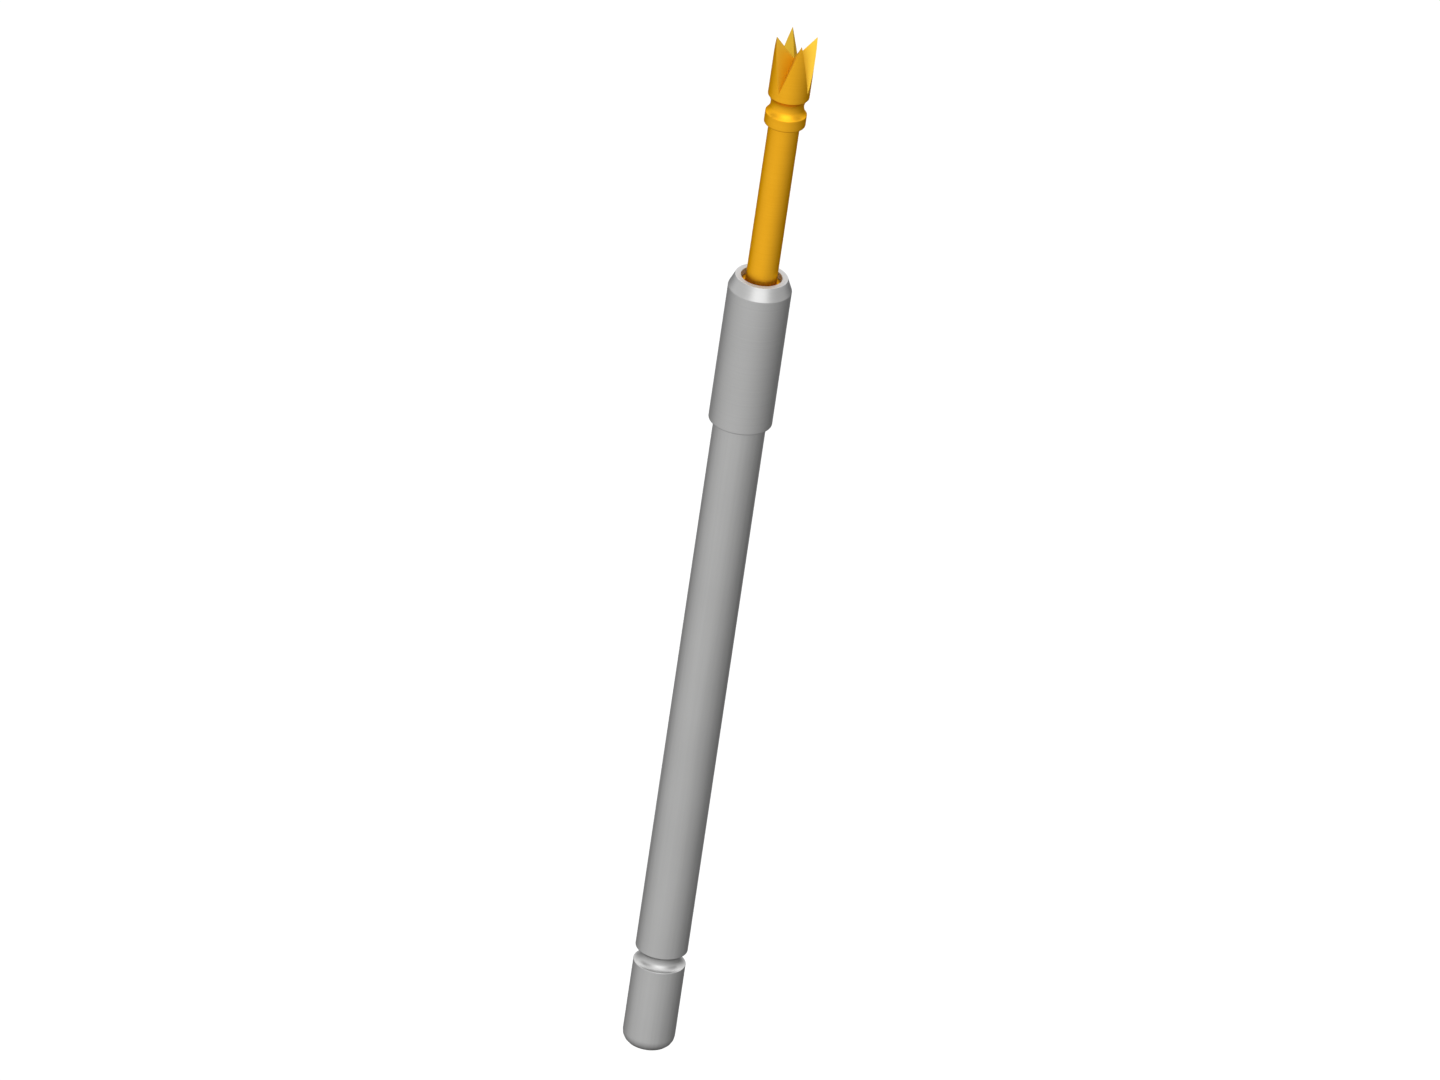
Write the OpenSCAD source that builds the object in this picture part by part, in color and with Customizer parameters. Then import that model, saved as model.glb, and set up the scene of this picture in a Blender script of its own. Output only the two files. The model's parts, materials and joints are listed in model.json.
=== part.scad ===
// Spring-loaded test probe: a plunger with a four-point crown in a barrel with a collar.
// Millimetres. The origin is on the axis at the collar's underside, and +Z points to the crown.

/* [Barrel] */
// Outside diameter of the barrel
barrel_d = 1.65; // [1.60:0.01:1.75]
// Wall thickness of the barrel
barrel_wall = 0.125; // [0.115:0.005:0.135]
// Length of the barrel below the collar
shank_l = 22.42; // [21.5:0.01:26]
// Corner radius of the closed end
end_r = 0.40; // [0.30:0.01:0.50]
// Thickness of the closed end
end_wall = 0.20; // [0.15:0.01:0.30]

/* [Collar] */
// How far the collar stands out from the barrel
collar_step = 0.175; // [0.10:0.005:0.30]
// Height of the collar, from its underside to the rim
collar_h = 5.12; // [4.5:0.01:6]
// Height of the cone that leads from the collar to the rim
rim_cone_h = 0.41; // [0.2:0.01:0.6]
// How far the rim's lip reaches into the bore
lip_reach = 0.055; // [0.045:0.005:0.065]
// Height of the rim's lip
lip_h = 0.22; // [0.15:0.01:0.30]

/* [Rolled groove] */
// Distance from the closed end to the groove
groove_rise = 2.96; // [2:0.01:4]
// Width of the groove on the barrel's outside
groove_w = 0.51; // [0.45:0.01:0.60]
// Depth of the groove
groove_depth = 0.20; // [0.16:0.01:0.23]

/* [Plunger] */
// How far the plunger can be pushed in
stroke = 5.00; // [4:0.1:6]
// Room left between the ring and the rim at full stroke
ring_spare = 0.41; // [0.2:0.01:0.8]
// Height of the ring
ring_h = 0.39; // [0.3:0.01:0.5]
// How far the ring and the crown stand out from the shaft
tip_step = 0.16; // [0.10:0.005:0.25]
// Width of the round neck groove between the ring and the crown
neck_w = 0.61; // [0.5:0.01:0.7]
// Depth of the neck groove
neck_depth = 0.125; // [0.08:0.005:0.16]
// Length of the land that runs in the bore
land_l = 4.00; // [3:0.1:4.5]
// Length of the pilot that centres the spring
pilot_l = 0.80; // [0.5:0.1:1.2]

/* [Crown] */
// Number of points
points = 4; // [3:1:6]
// Height of the plain band below the notches
skirt_h = 0.27; // [0.15:0.01:0.6]
// Height from the notches' outer ends to the crown's middle
notch_fall = 1.02; // [0.8:0.01:1.2]
// Height from the crown's middle to its points
point_h = 0.76; // [0.60:0.01:0.90]
// How much is taken off the very end of each point
point_wear = 0.012; // [0.008:0.001:0.03]

/* [Spring] */
// Wire diameter
wire_d = 0.20; // [0.18:0.01:0.22]
// Working turns
active_turns = 36; // [30:1:40]
// Closed turns at each end
closed_turns = 1.5; // [1:0.5:2]

/* [Fits] */
// Radial clearance of the shaft in the rim's mouth
mouth_clear = 0.155; // [0.10:0.005:0.20]
// Radial clearance of the land in the bore
land_clear = 0.015; // [0.010:0.005:0.020]
// Radial clearance around the spring in the bore
spring_clear = 0.08; // [0.06:0.01:0.10]
// Radial clearance of the pilot in the spring
pilot_clear = 0.03; // [0.02:0.01:0.05]
// Gap left between faces that rest on each other
rest_gap = 0.010; // [0.005:0.001:0.015]
// Gap between the spring's closed turns
turn_gap = 0.004; // [0.002:0.001:0.010]

/* [Hidden] */
$fn = 96;
over = 0.1;

barrel_r = barrel_d / 2;
collar_r = barrel_r + collar_step;
bore_r = barrel_r - barrel_wall;
mouth_r = bore_r - lip_reach;
lip_z = collar_h - lip_h;
groove_z = groove_rise + groove_w / 2 - shank_l;
groove_arc_r = arc_radius(groove_w, groove_depth);
groove_arc_x = barrel_r - groove_depth + groove_arc_r;
bead_arc_r = groove_arc_r + barrel_wall;

shaft_r = mouth_r - mouth_clear;
tip_r = shaft_r + tip_step;
land_r = bore_r - land_clear;
land_chamfer = lip_reach;
// the land's cone stops under the lip's cone
shoulder_z = lip_z + land_clear - rest_gap;
tail_z = shoulder_z - land_l;
ring_z = collar_h + ring_spare + stroke;
neck_z = ring_z + ring_h;
neck_arc_r = arc_radius(neck_w, neck_depth);
neck_arc_x = tip_r - neck_depth + neck_arc_r;
crown_z = neck_z + neck_w + skirt_h + notch_fall;
top_z = crown_z + point_h - point_wear;
notch_tilt = atan2(notch_fall, tip_r);
// a notch's side runs through the crown's middle, along one ridge and one notch line
half_step = 180 / points;
side_slope = (point_h + notch_fall * cos(half_step)) / (tip_r * sin(half_step)) * cos(notch_tilt);
notch_size = 6 * tip_r;

wire_r = wire_d / 2;
coil_r = bore_r - spring_clear - wire_r;
pilot_r = coil_r - wire_r - pilot_clear;
pilot_chamfer = pilot_r / 4;
// the lowest turn lies on the bead's round flank
seat_rise = sqrt((bead_arc_r + wire_r) ^ 2 - (groove_arc_x - coil_r) ^ 2);
coil_low_z = groove_z + seat_rise + rest_gap;
coil_high_z = tail_z - rest_gap - wire_r;
closed_pitch = wire_d + turn_gap;
active_pitch = (coil_high_z - coil_low_z - 2 * closed_turns * closed_pitch) / active_turns;
all_turns = active_turns + 2 * closed_turns;
steps_per_turn = 14;
wire_sides = 8;
coil_steps = ceil(all_turns * steps_per_turn);

// radius of the arc that spans a width at a depth
function arc_radius(width, depth) = width ^ 2 / (8 * depth) + depth / 2;

// height of the coil's centre line after a number of turns
function coil_z(turn) = coil_low_z
    + closed_pitch * (min(turn, closed_turns) + max(0, turn - closed_turns - active_turns))
    + active_pitch * min(max(turn - closed_turns, 0), active_turns);

function coil_point(turn, side) =
    let (a = 360 * turn, b = 360 * side / wire_sides, r = coil_r + wire_r * cos(b))
    [r * cos(a), r * sin(a), coil_z(turn) + wire_r * sin(b)];

// half profile of a round bar, with a quarter-round corner at its bottom
module rounded_blind_profile(radius, corner, bottom, top) {
    translate([0, bottom]) square([radius - corner, corner + over]);
    translate([radius - corner, bottom + corner])
        intersection() {
            circle(corner);
            translate([0, -corner]) square(corner);
        }
    translate([0, bottom + corner]) square([radius, top - bottom - corner]);
}

module barrel_outside_profile() {
    rounded_blind_profile(barrel_r, end_r, -shank_l, collar_h);
    square([collar_r, collar_h - rim_cone_h]);
    polygon([
        [0, collar_h - rim_cone_h], [collar_r, collar_h - rim_cone_h],
        [barrel_r, collar_h], [0, collar_h]
    ]);
}

module barrel_inside_profile() {
    rounded_blind_profile(bore_r, end_r - barrel_wall, end_wall - shank_l, lip_z - lip_reach);
    polygon([
        [0, lip_z - lip_reach - over], [bore_r, lip_z - lip_reach - over], [bore_r, lip_z - lip_reach],
        [mouth_r, lip_z], [mouth_r, collar_h + over], [0, collar_h + over]
    ]);
}

// rolled groove outside, and the bead that it raises inside
module barrel() {
    color("silver")
        rotate_extrude()
            difference() {
                barrel_outside_profile();
                translate([groove_arc_x, groove_z]) circle(groove_arc_r);
                difference() {
                    barrel_inside_profile();
                    translate([groove_arc_x, groove_z]) circle(bead_arc_r);
                }
            }
}

module plunger_profile() {
    polygon([
        [0, tail_z - pilot_l], [pilot_r - pilot_chamfer, tail_z - pilot_l],
        [pilot_r, tail_z - pilot_l + pilot_chamfer], [pilot_r, tail_z],
        [land_r - land_chamfer, tail_z], [land_r, tail_z + land_chamfer],
        [land_r, shoulder_z - land_chamfer], [land_r - land_chamfer, shoulder_z],
        [shaft_r, shoulder_z], [shaft_r, ring_z],
        [tip_r, ring_z], [tip_r, top_z], [0, top_z]
    ]);
}

module crown_notch() {
    translate([0, 0, crown_z])
        rotate([0, notch_tilt, 0])
            rotate([90, 0, 90])
                linear_extrude(2 * notch_size, center = true)
                    polygon([
                        [0, 0], [notch_size / side_slope, notch_size], [-notch_size / side_slope, notch_size]
                    ]);
}

module plunger() {
    color("goldenrod")
        difference() {
            rotate_extrude()
                difference() {
                    plunger_profile();
                    translate([neck_arc_x, neck_z + neck_w / 2]) circle(neck_arc_r);
                }
            for (i = [0 : points - 1])
                rotate([0, 0, (i + 0.5) * 360 / points]) crown_notch();
        }
}

module spring() {
    rings = [
        for (i = [0 : coil_steps], j = [0 : wire_sides - 1])
            coil_point(all_turns * i / coil_steps, j)
    ];
    skin = [
        for (i = [0 : coil_steps - 1], j = [0 : wire_sides - 1])
            let (k = (j + 1) % wire_sides, a = i * wire_sides, b = a + wire_sides)
            each [[a + j, b + j, b + k], [a + j, b + k, a + k]]
    ];
    low_end = [for (j = [0 : wire_sides - 1]) j];
    high_end = [for (j = [wire_sides - 1 : -1 : 0]) coil_steps * wire_sides + j];
    color("darkgray")
        polyhedron(rings, concat(skin, [low_end, high_end]));
}

barrel();
plunger();
spring();
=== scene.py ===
import json
import math

import bmesh
import bpy
from mathutils import Matrix, Vector


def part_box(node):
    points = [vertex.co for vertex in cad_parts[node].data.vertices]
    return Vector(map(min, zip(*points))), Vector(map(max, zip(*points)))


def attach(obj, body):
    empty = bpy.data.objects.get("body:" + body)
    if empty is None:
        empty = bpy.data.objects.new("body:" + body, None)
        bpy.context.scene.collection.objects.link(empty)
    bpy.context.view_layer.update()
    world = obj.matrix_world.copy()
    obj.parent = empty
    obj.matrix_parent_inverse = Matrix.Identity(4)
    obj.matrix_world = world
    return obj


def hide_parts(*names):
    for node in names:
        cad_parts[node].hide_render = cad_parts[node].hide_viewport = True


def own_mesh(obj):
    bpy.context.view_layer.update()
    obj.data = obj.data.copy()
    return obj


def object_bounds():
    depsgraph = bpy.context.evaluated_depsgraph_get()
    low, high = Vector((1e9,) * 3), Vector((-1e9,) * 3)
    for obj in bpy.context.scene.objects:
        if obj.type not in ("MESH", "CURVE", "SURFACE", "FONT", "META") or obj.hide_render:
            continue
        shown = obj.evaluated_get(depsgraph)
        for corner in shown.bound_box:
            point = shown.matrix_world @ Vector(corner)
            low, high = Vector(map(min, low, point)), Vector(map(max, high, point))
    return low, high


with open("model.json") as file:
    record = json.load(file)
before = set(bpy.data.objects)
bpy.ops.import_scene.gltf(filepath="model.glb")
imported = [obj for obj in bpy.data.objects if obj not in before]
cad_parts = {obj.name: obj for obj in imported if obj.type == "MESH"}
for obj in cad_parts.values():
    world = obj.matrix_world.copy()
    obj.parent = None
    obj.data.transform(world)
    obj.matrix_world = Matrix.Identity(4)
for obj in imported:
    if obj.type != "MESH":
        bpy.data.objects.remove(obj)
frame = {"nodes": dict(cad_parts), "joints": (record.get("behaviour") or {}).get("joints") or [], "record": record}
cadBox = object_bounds()
mm = 0.001  # metres in a millimetre
print("frame loaded:", ", ".join(sorted(frame["nodes"])))


def named(rows, name):
    return next(row for row in rows if row["name"] == name)


def addObject(name, data):
    item = bpy.data.objects.new(name, data)
    bpy.context.scene.collection.objects.link(item)
    return item


def placePiece(name, mesh, body, node):
    piece = addObject(name, mesh)
    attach(piece, body)
    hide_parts(node)
    return piece


# Skins: how finely they are drawn
skinSettings = {
    "sides": 192,
    "cornerSteps": 5,
    "cornerHold": 0.03,  # millimetres to the rings that keep the walls beside an eased corner flat
    "grooveSteps": 20,
    "sharpAngle": 35,
}


# outlines are (radius, height, edge radius) in millimetres, walked with the metal on the left
def easeCorner(before, corner, after):
    here = Vector(corner[:2])
    edge = corner[2]
    back = (Vector(before[:2]) - here).normalized()
    on = (Vector(after[:2]) - here).normalized()
    halfTurn = (math.pi - back.angle(on)) / 2
    reach = edge * math.tan(halfTurn)
    start = here + back * reach
    end = here + on * reach
    middle = here + (back + on).normalized() * (edge / math.cos(halfTurn))
    steps = skinSettings["cornerSteps"]
    arc = [middle + (start - middle).slerp(end - middle, i / steps) * edge for i in range(steps + 1)]
    hold = min(reach, skinSettings["cornerHold"])
    return [start + back * hold] + arc + [end + on * hold]


def easeOutline(corners):
    outline = []
    for i, corner in enumerate(corners):
        if len(corner) > 2:
            outline += easeCorner(corners[i - 1], corner, corners[i + 1])
        else:
            outline.append(Vector(corner))
    return outline


# points of a round groove between two heights on a wall, cut to a depth or grown by a wall behind it
def grooveArc(radius, low, high, depth, behind=0.0):
    width = high - low
    arcRadius = width ** 2 / (8 * depth) + depth / 2
    middleRadius = radius - depth + arcRadius
    middleHeight = (low + high) / 2
    size = arcRadius + behind
    half = math.acos((middleRadius - radius + behind) / size)
    steps = skinSettings["grooveSteps"]
    angles = [half * (2 * i / steps - 1) for i in range(steps + 1)]
    return [(middleRadius - size * math.cos(a), middleHeight + size * math.sin(a)) for a in angles]


# turn an outline that starts and ends on the axis into a closed skin
def turnOnLathe(name, outline):
    sides = skinSettings["sides"]
    angles = [2 * math.pi * i / sides for i in range(sides)]
    shape = bmesh.new()
    rings = []
    for radius, height in outline:
        around = angles if radius > 0 else angles[:1]
        rings.append([
            shape.verts.new((radius * mm * math.cos(a), radius * mm * math.sin(a), height * mm))
            for a in around
        ])
    for low, high in zip(rings, rings[1:]):
        for i in range(sides):
            j = (i + 1) % sides
            corners = [low[i % len(low)], low[j % len(low)], high[j % len(high)], high[i % len(high)]]
            shape.faces.new(list(dict.fromkeys(corners)))
    bmesh.ops.recalc_face_normals(shape, faces=shape.faces)
    mesh = bpy.data.meshes.new(name)
    shape.to_mesh(mesh)
    shape.free()
    return mesh


def smoothSkin(mesh):
    mesh.polygons.foreach_set("use_smooth", [True] * len(mesh.polygons))
    mesh.set_sharp_from_angle(angle=math.radians(skinSettings["sharpAngle"]))


# Node helpers: an input is given by its name or number, as a socket to link or a plain value
def addNode(tree, kind, inputs=None, **settings):
    node = tree.nodes.new(kind)
    for key, value in settings.items():
        setattr(node, key, value)
    for socket, value in (inputs or {}).items():
        if isinstance(value, bpy.types.NodeSocket):
            tree.links.new(value, node.inputs[socket])
        else:
            node.inputs[socket].default_value = value
    return node


def doMath(tree, operation, *values):
    return addNode(tree, "ShaderNodeMath", dict(enumerate(values)), operation=operation).outputs[0]


# Geometry Nodes helpers
def newTree(name, sockets):
    tree = bpy.data.node_groups.new(name, "GeometryNodeTree")
    tree.interface.new_socket("Geometry", in_out="INPUT", socket_type="NodeSocketGeometry")
    for label, kind in sockets:
        tree.interface.new_socket(label, in_out="INPUT", socket_type=kind)
    tree.interface.new_socket("Geometry", in_out="OUTPUT", socket_type="NodeSocketGeometry")
    return tree, tree.nodes.new("NodeGroupInput").outputs


def endTree(tree, geometry, finish):
    whole = addNode(tree, "GeometryNodeRealizeInstances", {"Geometry": geometry}).outputs[0]
    dressed = addNode(tree, "GeometryNodeSetMaterial", {"Geometry": whole, "Material": finish}).outputs[0]
    addNode(tree, "NodeGroupOutput", {"Geometry": dressed})


# runs a tree on a mesh and keeps what it makes as a plain mesh
def growMesh(name, mesh, tree, values):
    carrier = addObject(name, mesh)
    modifier = carrier.modifiers.new(tree.name, "NODES")
    modifier.node_group = tree
    for item in tree.interface.items_tree:
        if item.in_out == "INPUT" and item.name in values:
            modifier[item.identifier] = values[item.name]
    seen = carrier.evaluated_get(bpy.context.evaluated_depsgraph_get())
    grown = bpy.data.meshes.new_from_object(seen)
    carrier.modifiers.clear()
    bpy.data.objects.remove(carrier)
    grown.name = name
    return grown


# Shader helpers
noiseRange = (0.3, 0.7)  # where nearly all of a noise lies
fineDetail = 4
coarseDetail = 3


def newFinish(name):
    finish = bpy.data.materials.new(name)
    finish.use_nodes = True
    return finish, finish.node_tree.nodes["Principled BSDF"]


def opaque(colour):
    return (*colour, 1)


# a Mix node's inputs 2 and 3 are plain numbers, and 6 and 7 are colours
def blendLevels(tree, amount, low, high):
    return addNode(tree, "ShaderNodeMix", {0: amount, 2: low, 3: high}, data_type="FLOAT").outputs[0]


def mixColour(tree, amount, low, high):
    return addNode(tree, "ShaderNodeMix", {0: amount, 6: low, 7: high}, data_type="RGBA").outputs[2]


def mapRange(tree, value, fromLow, fromHigh, toLow, toHigh):
    ends = {0: value, 1: fromLow, 2: fromHigh, 3: toLow, 4: toHigh}
    return addNode(tree, "ShaderNodeMapRange", ends).outputs[0]


def spreadNoise(tree, noise, low, high):
    return mapRange(tree, noise, *noiseRange, low, high)


def objectPlace(tree):
    return addNode(tree, "ShaderNodeTexCoord").outputs["Object"]


# marks left by turning: rings that follow height and radius alike, or lean with a slope
def turnedRings(tree, pitch, detail=fineDetail, slope=1.0):
    place = addNode(tree, "ShaderNodeSeparateXYZ", {0: objectPlace(tree)}).outputs
    flat = addNode(tree, "ShaderNodeCombineXYZ", {0: place[0], 1: place[1]}).outputs[0]
    radius = addNode(tree, "ShaderNodeVectorMath", {0: flat}, operation="LENGTH").outputs["Value"]
    along = doMath(tree, "MULTIPLY_ADD", radius, slope, place[2])
    noise = {"W": along, "Scale": 1 / pitch, "Detail": detail}
    return addNode(tree, "ShaderNodeTexNoise", noise, noise_dimensions="1D").outputs["Fac"]


# long streaks along the axis, as a drawn tube has
def drawnStreaks(tree, width, length):
    stretch = (1 / width, 1 / width, 1 / length)
    place = addNode(tree, "ShaderNodeMapping", {"Vector": objectPlace(tree), "Scale": stretch}).outputs[0]
    noise = {"Vector": place, "Scale": 1.0, "Detail": fineDetail}
    return addNode(tree, "ShaderNodeTexNoise", noise).outputs["Fac"]


def cloudTone(tree, size):
    noise = {"Vector": objectPlace(tree), "Scale": 1 / size, "Detail": coarseDetail}
    return addNode(tree, "ShaderNodeTexNoise", noise).outputs["Fac"]


# how far the tone goes from deep to pale: the marks over a slow cloud
def toneShare(tree, look, marks):
    cloud = cloudTone(tree, look["cloudSize"])
    return spreadNoise(tree, blendLevels(tree, look["markShare"], cloud, marks), 0, 1)


def dressPlating(tree, skin, look, marks, colour, roughness):
    bump = addNode(tree, "ShaderNodeBump", {"Height": marks, "Distance": look["bumpHeight"]})
    tree.links.new(colour, skin.inputs["Base Color"])
    tree.links.new(roughness, skin.inputs["Roughness"])
    tree.links.new(bump.outputs[0], skin.inputs["Normal"])
    skin.inputs["Metallic"].default_value = 1.0
    skin.inputs["Specular Tint"].default_value = opaque(look["edgeTint"])


goldSettings = {
    "pale": (0.97, 0.485, 0.022),
    "deep": (0.92, 0.44, 0.016),
    "cutPale": (0.89, 0.580, 0.060),
    "cutDeep": (0.85, 0.545, 0.050),
    "edgeTint": (0.60, 0.45, 0.20),
    "roughness": (0.34, 0.42),
    "cutRoughness": (0.43, 0.53),
    "ringPitch": 0.05 * mm,
    "strokePitch": 0.02 * mm,
    "cloudSize": 1.1 * mm,
    "markShare": 0.5,
    "bumpHeight": 0.0003 * mm,
}


# rings on the turned skin, and duller strokes along the notches on the cut faces
def goldPlating(look, notchSlope):
    finish, skin = newFinish("goldPlating")
    tree = finish.node_tree
    cutFace = addNode(tree, "ShaderNodeAttribute", attribute_name="cutFace").outputs["Fac"]
    rings = turnedRings(tree, look["ringPitch"])
    strokes = turnedRings(tree, look["strokePitch"], slope=notchSlope)
    marks = blendLevels(tree, cutFace, rings, strokes)
    share = toneShare(tree, look, marks)
    turned = mixColour(tree, share, opaque(look["deep"]), opaque(look["pale"]))
    cut = mixColour(tree, share, opaque(look["cutDeep"]), opaque(look["cutPale"]))
    colour = mixColour(tree, cutFace, turned, cut)
    satin = spreadNoise(tree, marks, *look["roughness"])
    dull = spreadNoise(tree, marks, *look["cutRoughness"])
    dressPlating(tree, skin, look, marks, colour, blendLevels(tree, cutFace, satin, dull))
    return finish


silverSettings = {
    "pale": (0.52, 0.52, 0.517),
    "deep": (0.475, 0.475, 0.472),
    "edgeTint": (0.45, 0.45, 0.45),
    "roughness": (0.34, 0.42),
    "ringPitch": 0.06 * mm,
    "ringFade": 0.05 * mm,
    "streakWidth": 0.06 * mm,
    "streakLength": 6.0 * mm,
    "cloudSize": 2.4 * mm,
    "markShare": 0.55,
    "bumpHeight": 0.0003 * mm,
}


# turned rings on the collar, which stands above height 0, and drawn streaks on the tube below it
def silverPlating(look):
    finish, skin = newFinish("silverPlating")
    tree = finish.node_tree
    rings = turnedRings(tree, look["ringPitch"])
    streaks = drawnStreaks(tree, look["streakWidth"], look["streakLength"])
    height = addNode(tree, "ShaderNodeSeparateXYZ", {0: objectPlace(tree)}).outputs[2]
    onCollar = mapRange(tree, height, -look["ringFade"], 0, 0, 1)
    marks = blendLevels(tree, onCollar, streaks, rings)
    colour = mixColour(tree, toneShare(tree, look, marks), opaque(look["deep"]), opaque(look["pale"]))
    dressPlating(tree, skin, look, marks, colour, spreadNoise(tree, marks, *look["roughness"]))
    return finish


boreSettings = {
    # greys darker than the plating: partly bare metal, partly painted shade in the mouth
    "pale": (0.36, 0.37, 0.38),
    "deep": (0.28, 0.29, 0.30),
    "metallic": 0.2,
    "roughness": (0.45, 0.60),
    "ringPitch": 0.03 * mm,
}


rimSettings = {
    "pale": (0.50, 0.51, 0.52),
    "deep": (0.43, 0.44, 0.45),
    "metallic": 0.4,
    "roughness": (0.50, 0.62),
    "ringPitch": 0.03 * mm,
}


# the bore has no plating, and its darker grey is partly painted shade that deepens the mouth; the rolled rim has
# lost its gloss
def dullMetal(name, look):
    finish, skin = newFinish(name)
    tree = finish.node_tree
    rings = turnedRings(tree, look["ringPitch"], coarseDetail)
    colour = mixColour(tree, spreadNoise(tree, rings, 0, 1), opaque(look["deep"]), opaque(look["pale"]))
    tree.links.new(colour, skin.inputs["Base Color"])
    tree.links.new(spreadNoise(tree, rings, *look["roughness"]), skin.inputs["Roughness"])
    skin.inputs["Metallic"].default_value = look["metallic"]
    return finish


wireSettings = {
    "pale": (0.56, 0.56, 0.57),
    "deep": (0.42, 0.42, 0.43),
    "roughness": (0.25, 0.36),
    "grainSize": 0.04 * mm,
}


def springWire(look):
    finish, skin = newFinish("springWire")
    tree = finish.node_tree
    grain = cloudTone(tree, look["grainSize"])
    colour = mixColour(tree, grain, opaque(look["deep"]), opaque(look["pale"]))
    tree.links.new(colour, skin.inputs["Base Color"])
    tree.links.new(spreadNoise(tree, grain, *look["roughness"]), skin.inputs["Roughness"])
    skin.inputs["Metallic"].default_value = 1.0
    return finish


# Barrel: one turned tube with its collar, rim, rolled groove and closed end, in millimetres
shankMount = named(frame["record"]["mounts"], "shank")
barrelLow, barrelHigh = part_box("barrel")
barrelSettings = {
    "radius": shankMount["dims"]["r_mm"],
    "bottom": barrelLow.z / mm,
    "rim": barrelHigh.z / mm,
    "collar": barrelHigh.x / mm,
    "wall": 0.125,
    "endWall": 0.20,
    "endRadius": 0.40,
    "rimCone": 0.41,
    "rimRise": 0.7,  # the rim's face is where the skin looks up more than this
    "lipHeight": 0.22,
    "lipReach": 0.055,
    "grooveTop": -shankMount["dims"]["length_mm"],
    "grooveWidth": 0.51,
    "grooveDepth": 0.20,
    "edge": 0.02,
    "collarEdge": 0.04,
}


def makeBarrel(sizes):
    radius = sizes["radius"]
    rim = sizes["rim"]
    edge = sizes["edge"]
    bore = radius - sizes["wall"]
    mouth = bore - sizes["lipReach"]
    lip = rim - sizes["lipHeight"]
    endInside = sizes["bottom"] + sizes["endWall"]
    groove = (sizes["grooveTop"] - sizes["grooveWidth"], sizes["grooveTop"], sizes["grooveDepth"])
    outside = grooveArc(radius, *groove)
    bead = grooveArc(radius, *groove, behind=sizes["wall"])
    mesh = turnOnLathe("barrel", easeOutline([
        (0, sizes["bottom"]),
        (radius, sizes["bottom"], sizes["endRadius"]),
        (*outside[0], edge), *outside[1:-1], (*outside[-1], edge),
        (radius, 0, edge),
        (sizes["collar"], 0, sizes["collarEdge"]),
        (sizes["collar"], rim - sizes["rimCone"], sizes["collarEdge"]),
        (radius, rim, edge),
        (mouth, rim, edge),
        (mouth, lip),
        (bore, lip - sizes["lipReach"]),
        *reversed(bead),
        (bore, endInside, sizes["endRadius"] - sizes["wall"]),
        (0, endInside),
    ]))
    smoothSkin(mesh)
    mesh.materials.append(silverPlating(silverSettings))
    mesh.materials.append(dullMetal("bareBoreWithPaintedShade", boreSettings))
    mesh.materials.append(dullMetal("rolledRim", rimSettings))
    boreSlot, rimSlot = 1, 2  # the plating is slot 0
    for face in mesh.polygons:
        if face.center.z > (rim - edge) * mm and face.normal.z > sizes["rimRise"]:
            face.material_index = rimSlot
        # faces that look towards the axis take the bore finish, whose darker grey is partly painted shade
        elif face.normal.xy.dot(face.center.xy) < 0:
            face.material_index = boreSlot
    placePiece("barrelSkin", mesh, "barrel", "barrel")


makeBarrel(barrelSettings)
print("barrel turned")


# Plunger: one turned rod with its ring, neck groove and crown, in millimetres
plungerLow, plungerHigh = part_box("plunger")
strokeJoint = named(frame["joints"], "stroke")
plungerSettings = {
    "tail": plungerLow.z / mm,
    "top": plungerHigh.z / mm,
    "pilot": 0.39,
    "pilotLength": 0.80,
    "pilotChamfer": 0.0975,
    "land": plungerHigh.x / mm,
    "landLength": 4.0,
    "landChamfer": barrelSettings["lipReach"],
    "shaft": 0.49,
    "tip": 0.65,
    "rim": barrelSettings["rim"],
    "stroke": -strokeJoint["range_m"][0] / mm,
    "ringSpare": 0.41,  # room left between the ring and the rim at full stroke
    "ringHeight": 0.39,
    "neckWidth": 0.61,
    "neckDepth": 0.125,
    "skirt": 0.27,  # plain band below the notches
    "notchFall": 1.02,
    "points": 4,
    "cutterSize": 2.6,
    "cutterLength": 10.4,
    "weld": 0.001,
    "edge": 0.02,
    "shoulderEdge": 0.01,
    "ringEdge": 0.05,
}


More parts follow.
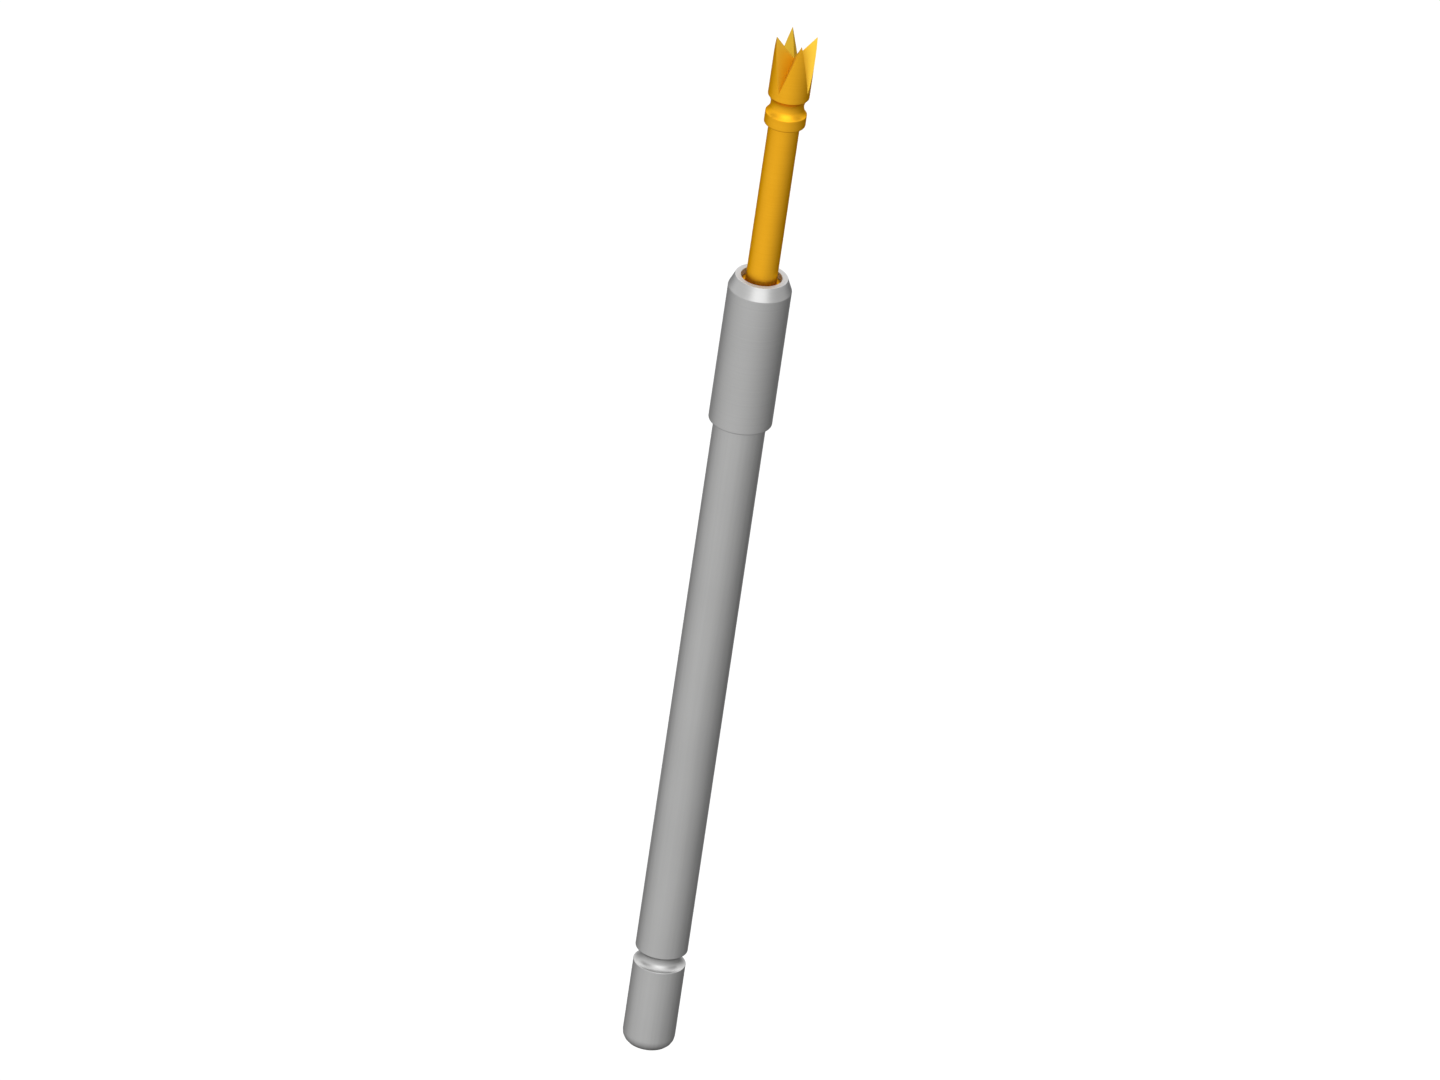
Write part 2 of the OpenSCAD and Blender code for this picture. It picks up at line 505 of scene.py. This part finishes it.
# cuts one notch for each point with a 60 degree cutter that falls outwards from the crown's middle
def crownTree():
    tree, give = newTree("crownNotches", [
        ("Points", "NodeSocketInt"),
        ("Middle Height", "NodeSocketFloat"),
        ("Fall Angle", "NodeSocketFloat"),
        ("Cutter Size", "NodeSocketFloat"),
        ("Cutter Length", "NodeSocketFloat"),
        ("Weld Distance", "NodeSocketFloat"),
        ("Finish", "NodeSocketMaterial"),
    ])
    cutter = addNode(tree, "GeometryNodeMeshCylinder", {
        "Vertices": 3,
        "Radius": give["Cutter Size"],
        "Depth": give["Cutter Length"],
    })
    lift = addNode(tree, "ShaderNodeCombineXYZ", {"Z": give["Cutter Size"]})
    edgeDown = addNode(tree, "GeometryNodeTransform", {
        "Geometry": cutter.outputs["Mesh"],
        "Translation": lift.outputs[0],
        "Rotation": (0, math.pi / 2, 0),
    })
    fall = addNode(tree, "ShaderNodeCombineXYZ", {"Y": give["Fall Angle"]})
    middle = addNode(tree, "ShaderNodeCombineXYZ", {"Z": give["Middle Height"]})
    tilted = addNode(tree, "GeometryNodeTransform", {
        "Geometry": edgeDown.outputs[0],
        "Translation": middle.outputs[0],
        "Rotation": fall.outputs[0],
    })
    spots = addNode(tree, "GeometryNodePoints", {"Count": give["Points"]})
    index = addNode(tree, "GeometryNodeInputIndex").outputs[0]
    between = doMath(tree, "ADD", index, 0.5)  # a notch lies half a step from its points
    step = doMath(tree, "DIVIDE", 2 * math.pi, give["Points"])
    turn = addNode(tree, "ShaderNodeCombineXYZ", {"Z": doMath(tree, "MULTIPLY", between, step)})
    around = addNode(tree, "GeometryNodeInstanceOnPoints", {
        "Points": spots.outputs[0],
        "Instance": tilted.outputs[0],
        "Rotation": turn.outputs[0],
    })
    cutters = addNode(tree, "GeometryNodeRealizeInstances", {"Geometry": around.outputs[0]})
    marked = addNode(tree, "GeometryNodeStoreNamedAttribute", {
        "Geometry": cutters.outputs[0],
        "Name": "cutFace",
        "Value": 1.0,
    }, data_type="FLOAT", domain="FACE")
    cut = addNode(tree, "GeometryNodeMeshBoolean", {
        "Mesh 1": give["Geometry"],
        "Mesh 2": marked.outputs[0],
        "Self Intersection": True,
    }, operation="DIFFERENCE", solver="EXACT")
    welded = addNode(tree, "GeometryNodeMergeByDistance", {
        "Geometry": cut.outputs[0],
        "Distance": give["Weld Distance"],
    })
    endTree(tree, welded.outputs[0], give["Finish"])
    return tree


def makePlunger(sizes):
    tail, top = sizes["tail"], sizes["top"]
    pilot, land, shaft, tip = sizes["pilot"], sizes["land"], sizes["shaft"], sizes["tip"]
    edge = sizes["edge"]
    chamfer = sizes["landChamfer"]
    landLow = tail + sizes["pilotLength"]
    shoulder = landLow + sizes["landLength"]
    ringLow = sizes["rim"] + sizes["stroke"] + sizes["ringSpare"]
    ringHigh = ringLow + sizes["ringHeight"]
    neckHigh = ringHigh + sizes["neckWidth"]
    crownMiddle = neckHigh + sizes["skirt"] + sizes["notchFall"]
    notchSlope = sizes["notchFall"] / tip
    neck = grooveArc(tip, ringHigh, neckHigh, sizes["neckDepth"])
    blank = turnOnLathe("plungerBlank", easeOutline([
        (0, tail),
        (pilot - sizes["pilotChamfer"], tail),
        (pilot, tail + sizes["pilotChamfer"]),
        (pilot, landLow),
        (land - chamfer, landLow),
        (land, landLow + chamfer),
        (land, shoulder - chamfer),
        (land - chamfer, shoulder, sizes["shoulderEdge"]),
        (shaft, shoulder, edge),
        (shaft, ringLow, edge),
        (tip, ringLow, sizes["ringEdge"]),
        (*neck[0], edge), *neck[1:-1], (*neck[-1], edge),
        (tip, top),
        (0, top),
    ]))
    mesh = growMesh("plunger", blank, crownTree(), {
        "Points": sizes["points"],
        "Middle Height": crownMiddle * mm,
        "Fall Angle": math.atan(notchSlope),
        "Cutter Size": sizes["cutterSize"] * mm,
        "Cutter Length": sizes["cutterLength"] * mm,
        "Weld Distance": sizes["weld"] * mm,
        "Finish": goldPlating(goldSettings, notchSlope),
    })
    smoothSkin(mesh)
    placePiece("plungerSkin", mesh, "plunger", "plunger")


makePlunger(plungerSettings)
print("plunger turned and its crown cut")


# Spring: closed turns at both ends, open turns between them, in millimetres
springLow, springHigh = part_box("spring")
springSettings = {
    "low": springLow.z / mm,
    "high": springHigh.z / mm,
    "outside": springHigh.x / mm,
    "wire": 0.10,
    "openTurns": 36,
    "closedTurns": 1.5,
    "closedGap": 0.004,
    "stepsPerTurn": 40,
    "wireSides": 16,
}


# winds a wire that rises by the closed pitch in the end turns and by the open pitch between them
def coilTree():
    tree, give = newTree("coilSpring", [
        ("Coil Radius", "NodeSocketFloat"),
        ("Wire Radius", "NodeSocketFloat"),
        ("Bottom", "NodeSocketFloat"),
        ("Open Pitch", "NodeSocketFloat"),
        ("Closed Pitch", "NodeSocketFloat"),
        ("Open Turns", "NodeSocketFloat"),
        ("Closed Turns", "NodeSocketFloat"),
        ("Steps Per Turn", "NodeSocketFloat"),
        ("Wire Sides", "NodeSocketInt"),
        ("Finish", "NodeSocketMaterial"),
    ])
    allTurns = doMath(tree, "MULTIPLY_ADD", give["Closed Turns"], 2.0, give["Open Turns"])
    steps = doMath(tree, "ADD", doMath(tree, "MULTIPLY", allTurns, give["Steps Per Turn"]), 1.0)
    line = addNode(tree, "GeometryNodeMeshLine", {"Count": steps})
    index = addNode(tree, "GeometryNodeInputIndex").outputs[0]
    turn = doMath(tree, "DIVIDE", index, give["Steps Per Turn"])
    angle = doMath(tree, "MULTIPLY", turn, 2 * math.pi)
    lowClosed = doMath(tree, "MINIMUM", turn, give["Closed Turns"])
    afterLow = doMath(tree, "SUBTRACT", turn, give["Closed Turns"])
    opened = doMath(tree, "MINIMUM", doMath(tree, "MAXIMUM", afterLow, 0.0), give["Open Turns"])
    highClosed = doMath(tree, "MAXIMUM", doMath(tree, "SUBTRACT", afterLow, give["Open Turns"]), 0.0)
    closedRise = doMath(tree, "MULTIPLY", doMath(tree, "ADD", lowClosed, highClosed), give["Closed Pitch"])
    rise = doMath(tree, "MULTIPLY_ADD", opened, give["Open Pitch"], closedRise)
    spot = addNode(tree, "ShaderNodeCombineXYZ", {
        "X": doMath(tree, "MULTIPLY", doMath(tree, "COSINE", angle), give["Coil Radius"]),
        "Y": doMath(tree, "MULTIPLY", doMath(tree, "SINE", angle), give["Coil Radius"]),
        "Z": doMath(tree, "ADD", rise, give["Bottom"]),
    })
    helix = addNode(tree, "GeometryNodeSetPosition", {
        "Geometry": line.outputs[0],
        "Position": spot.outputs[0],
    })
    path = addNode(tree, "GeometryNodeMeshToCurve", {"Mesh": helix.outputs[0]})
    section = addNode(tree, "GeometryNodeCurvePrimitiveCircle", {
        "Resolution": give["Wire Sides"],
        "Radius": give["Wire Radius"],
    })
    wire = addNode(tree, "GeometryNodeCurveToMesh", {
        "Curve": path.outputs[0],
        "Profile Curve": section.outputs[0],
        "Fill Caps": True,
    })
    endTree(tree, wire.outputs[0], give["Finish"])
    return tree


def makeSpring(sizes):
    wire = sizes["wire"]
    bottom = sizes["low"] + wire
    closedPitch = 2 * wire + sizes["closedGap"]
    openRise = sizes["high"] - wire - bottom - 2 * sizes["closedTurns"] * closedPitch
    mesh = growMesh("spring", bpy.data.meshes.new("springSeed"), coilTree(), {
        "Coil Radius": (sizes["outside"] - wire) * mm,
        "Wire Radius": wire * mm,
        "Bottom": bottom * mm,
        "Open Pitch": openRise / sizes["openTurns"] * mm,
        "Closed Pitch": closedPitch * mm,
        "Open Turns": float(sizes["openTurns"]),
        "Closed Turns": sizes["closedTurns"],
        "Steps Per Turn": float(sizes["stepsPerTurn"]),
        "Wire Sides": sizes["wireSides"],
        "Finish": springWire(wireSettings),
    })
    smoothSkin(mesh)
    piece = placePiece("springCoil", mesh, "spring", "spring")
    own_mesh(piece)


makeSpring(springSettings)
print("spring wound")


# direction that an azimuth and an elevation in degrees look from, with azimuth 0 on the -Y side
def aimFrom(azimuth, elevation):
    around, up = math.radians(azimuth), math.radians(elevation)
    return Vector((math.sin(around) * math.cos(up), -math.cos(around) * math.cos(up), math.sin(up)))


def lookAlong(way):
    return way.to_track_quat("-Z", "Y")


# Camera: the photo's viewing angle and frame
cameraSettings = {
    "azimuth": -16.6,
    "elevation": 28.8,
    "lean": 8.487,
    "frameWidth": 44.70 * mm,
    "height": -4.30 * mm,  # of the frame's middle on the axis
    "aside": -0.071 * mm,  # from the axis to the frame's middle
    "lens": 850,  # long, because the photo has no perspective
    "clip": (0.05, 20),
}


def makeCamera(view):
    data = bpy.data.cameras.new("photoCamera")
    data.lens = view["lens"]
    data.clip_start, data.clip_end = view["clip"]
    back = aimFrom(view["azimuth"], view["elevation"])
    turn = lookAlong(-back).to_matrix() @ Matrix.Rotation(math.radians(view["lean"]), 3, "Z")
    right = turn @ Vector((1, 0, 0))
    distance = view["frameWidth"] * view["lens"] / data.sensor_width
    camera = addObject("photoCamera", data)
    camera.location = Vector((0, 0, view["height"])) + right * view["aside"] + back * distance
    camera.rotation_euler = turn.to_euler()
    bpy.context.scene.camera = camera


# Floor: plain pale paper, well below the probe
floorSettings = {
    "drop": 34 * mm,
    "size": 3.0,
    "tone": (0.76, 0.76, 0.76),  # just white under this light, so that it doesn't eat into the edges
    "roughness": 0.9,
}


def makeFloor(paper):
    half = paper["size"] / 2
    height = cadBox[0].z - paper["drop"]
    corners = [(-half, -half, height), (half, -half, height), (half, half, height), (-half, half, height)]
    mesh = bpy.data.meshes.new("floor")
    mesh.from_pydata(corners, [], [(0, 1, 2, 3)])
    finish, skin = newFinish("floorPaper")
    skin.inputs["Base Color"].default_value = opaque(paper["tone"])
    skin.inputs["Roughness"].default_value = paper["roughness"]
    mesh.materials.append(finish)
    floor = addObject("floor", mesh)
    floor.visible_glossy = False  # the metal mirrors the room alone


# Room: soft light from all round, as levels that add up
# aims are azimuth from the camera and elevation, and ranges are the angles that a level fades in over
roomSettings = {
    "tone": (1.0, 1.0, 1.0),
    "level": 0.60,
    "swing": 0.37,  # brighter towards the key side, darker away from it
    "swingAim": (-33, 20),
    "glowLevel": 0.55,  # a round glow low behind the probe
    "glowAim": (180, -20),
    "glowFocus": 10.0,
    "sideLevel": 0.35,  # both sides, a little above the horizon
    "sideRanges": ((-14, 4), (24, 8)),
    "ceilingLevel": -0.25,
    "ceilingRange": (-2, 30),
    "stripLevel": 1.30,  # along the view overhead
    "rearLevel": 0.62,  # overhead behind the probe, in place of the strip
    "rearRange": (0, -24),
    "zenithLevel": 1.10,
    "zenithRange": (30, 70),
    "groundLevel": -0.15,
    "groundRange": (-40, -75),
}


# how far a direction of the room faces an azimuth and elevation, from -1 to 1
def facing(tree, way, azimuth, elevation):
    aim = aimFrom(azimuth, elevation)
    return addNode(tree, "ShaderNodeVectorMath", {0: way, 1: aim}, operation="DOT_PRODUCT").outputs["Value"]


# 0 where a direction rises to the first angle and 1 at the second, with a soft step between them
def fadeIn(tree, rise, angles):
    low, high = (math.sin(math.radians(angle)) for angle in angles)
    ends = {0: rise, 1: low, 2: high}
    return addNode(tree, "ShaderNodeMapRange", ends, interpolation_type="SMOOTHSTEP").outputs[0]


def makeRoom(room, viewAzimuth):
    world = bpy.data.worlds.new("softRoom")
    world.use_nodes = True
    tree = world.node_tree
    way = objectPlace(tree)
    up = addNode(tree, "ShaderNodeSeparateXYZ", {0: way}).outputs[2]
    front = facing(tree, way, viewAzimuth, 0)
    lengthwise = doMath(tree, "MULTIPLY", front, front)
    side = facing(tree, way, viewAzimuth + room["swingAim"][0], room["swingAim"][1])
    behind = facing(tree, way, viewAzimuth + room["glowAim"][0], room["glowAim"][1])
    glow = doMath(tree, "POWER", doMath(tree, "MAXIMUM", behind, 0.0), room["glowFocus"])
    glowing = doMath(tree, "MULTIPLY", glow, room["glowLevel"])
    walls = doMath(tree, "MULTIPLY_ADD", side, room["swing"], glowing)
    strip = doMath(tree, "MULTIPLY_ADD", lengthwise, room["stripLevel"], room["ceilingLevel"])
    ceiling = blendLevels(tree, fadeIn(tree, front, room["rearRange"]), strip, room["rearLevel"])
    around = blendLevels(tree, fadeIn(tree, up, room["ceilingRange"]), walls, ceiling)
    band = doMath(tree, "MULTIPLY", *(fadeIn(tree, up, angles) for angles in room["sideRanges"]))
    sides = doMath(tree, "MULTIPLY", doMath(tree, "SUBTRACT", 1.0, lengthwise), band)
    level = doMath(tree, "ADD", around, room["level"])
    level = doMath(tree, "MULTIPLY_ADD", sides, room["sideLevel"], level)
    for name in ("ground", "zenith"):
        fade = fadeIn(tree, up, room[name + "Range"])
        level = doMath(tree, "MULTIPLY_ADD", fade, room[name + "Level"], level)
    sky = tree.nodes["Background"]
    sky.inputs["Color"].default_value = opaque(room["tone"])
    tree.links.new(doMath(tree, "MAXIMUM", level, 0.0), sky.inputs["Strength"])
    bpy.context.scene.world = world


# Key light: its azimuth is from the camera
keyLightSettings = {
    "azimuth": 4,
    "elevation": 24,
    "distance": 0.40,
    "width": 0.42,
    "height": 0.24,
    "power": 0.25,
}


def makeKeyLight(lamp, viewAzimuth):
    data = bpy.data.lights.new("keyLight", "AREA")
    data.shape = "RECTANGLE"
    data.size, data.size_y = lamp["width"], lamp["height"]
    data.energy = lamp["power"]
    back = aimFrom(viewAzimuth + lamp["azimuth"], lamp["elevation"])
    light = addObject("keyLight", data)
    light.location = back * lamp["distance"]
    light.rotation_euler = lookAlong(-back).to_euler()


makeFloor(floorSettings)
makeRoom(roomSettings, cameraSettings["azimuth"])
makeKeyLight(keyLightSettings, cameraSettings["azimuth"])
makeCamera(cameraSettings)
bpy.context.scene.view_settings.view_transform = "Standard"
print("stage set")
